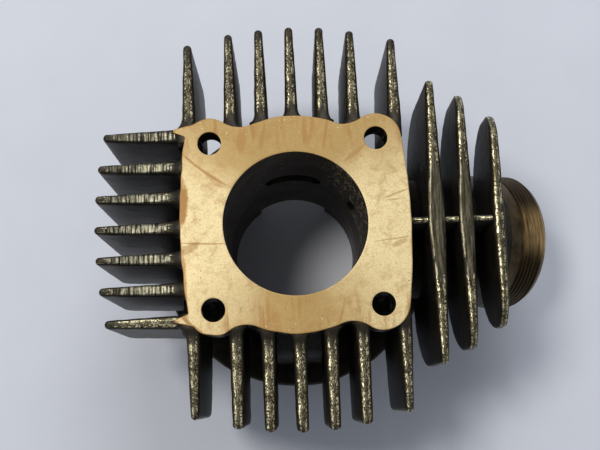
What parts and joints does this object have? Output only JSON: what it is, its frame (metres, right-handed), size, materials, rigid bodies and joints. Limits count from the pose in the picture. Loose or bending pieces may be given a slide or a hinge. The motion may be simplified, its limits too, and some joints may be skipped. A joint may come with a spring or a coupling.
{
  "type": "two-stroke engine cylinder",
  "caption": "Air-cooled two-stroke cylinder casting with head deck, transfer ports, cooling fins on all sides, round base flange, spigot and sloping threaded exhaust stub.",
  "frame": {"origin": "under the middle of the part's box, level with the end of the spigot; the bore axis is 10.9 mm to its -X side", "axes": "+Z along the bore from the spigot to the head face, +X towards the exhaust stub, +Y across the mirror plane"},
  "size_m": [0.133, 0.1136, 0.078],
  "materials": {
    "machined_face": "fine machined head face with a warm film of dried oil and flow stains",
    "raw_casting": "rough sand casting, near-black olive brown with pale glints on the edges",
    "bore_surface": "honed bore, dark oil-browned, with fine specks",
    "machined_stub": "turned and threaded, dark bronze-brown oil film"
  },
  "bodies": {
    "root": {"barrel_wall": "bore_surface", "base_flange": "raw_casting", "exhaust_duct": "raw_casting", "exhaust_stub": "machined_stub", "fin_back_1": "raw_casting", "fin_back_2": "raw_casting", "fin_back_3": "raw_casting", "fin_back_4": "raw_casting", "fin_back_5": "raw_casting", "fin_back_6": "raw_casting", "fin_back_7": "raw_casting", "fin_exhaust_inner": "raw_casting", "fin_exhaust_middle": "raw_casting", "fin_exhaust_outer": "raw_casting", "fin_front_1": "raw_casting", "fin_front_2": "raw_casting", "fin_front_3": "raw_casting", "fin_front_4": "raw_casting", "fin_front_5": "raw_casting", "fin_front_6": "raw_casting", "fin_front_7": "raw_casting", "fin_left_1": "raw_casting", "fin_left_2": "raw_casting", "fin_left_3": "raw_casting", "fin_left_4": "raw_casting", "fin_left_5": "raw_casting", "fin_left_6": "raw_casting", "fin_left_7": "raw_casting", "head_deck": "machined_face", "rib_inner": "raw_casting", "rib_middle": "raw_casting", "rib_outer": "raw_casting", "spigot": "bore_surface", "transfer_duct_back": "raw_casting", "transfer_duct_front": "raw_casting"}
  },
  "joints": []
}
